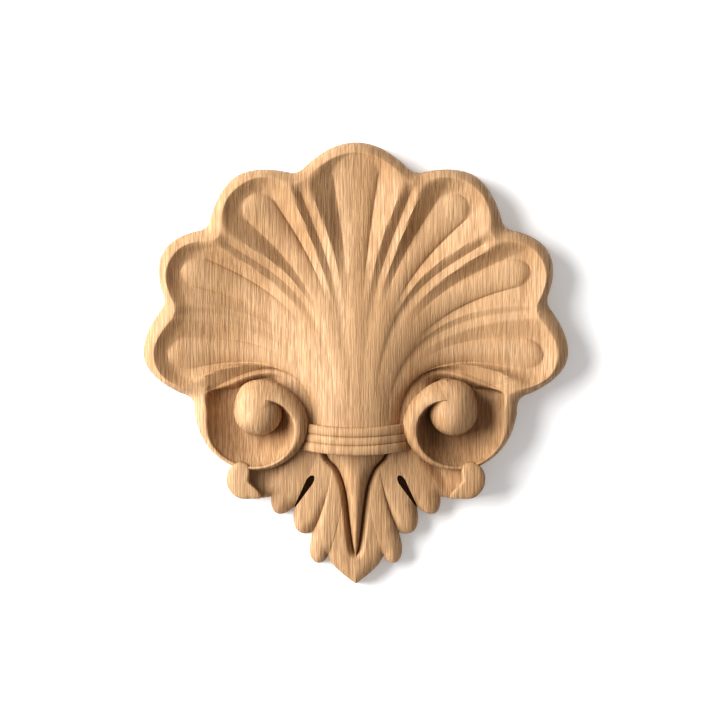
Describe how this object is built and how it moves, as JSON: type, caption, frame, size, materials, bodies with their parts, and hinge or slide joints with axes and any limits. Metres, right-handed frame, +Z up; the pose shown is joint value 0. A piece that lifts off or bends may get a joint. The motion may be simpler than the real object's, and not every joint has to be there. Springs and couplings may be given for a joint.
{
  "type": "carved shell applique",
  "caption": "Carved wood applique: scallop shell with ribbed lobes and a scalloped rim, two volutes with ball eyes, a curved band and an acanthus leaf with a central stem.",
  "frame": {"origin": "middle of the flat back face, where the carving is glued to its panel", "axes": "+X to the right seen from the front, +Z up towards the top lobe, the carved front looks along -Y and the flat back along +Y"},
  "size_m": [0.15, 0.0235, 0.156],
  "materials": {
    "carved_wood": "satin light oak, fine upright grain"
  },
  "bodies": {
    "root": {"carved_shell_insert": "carved_wood"}
  },
  "joints": []
}
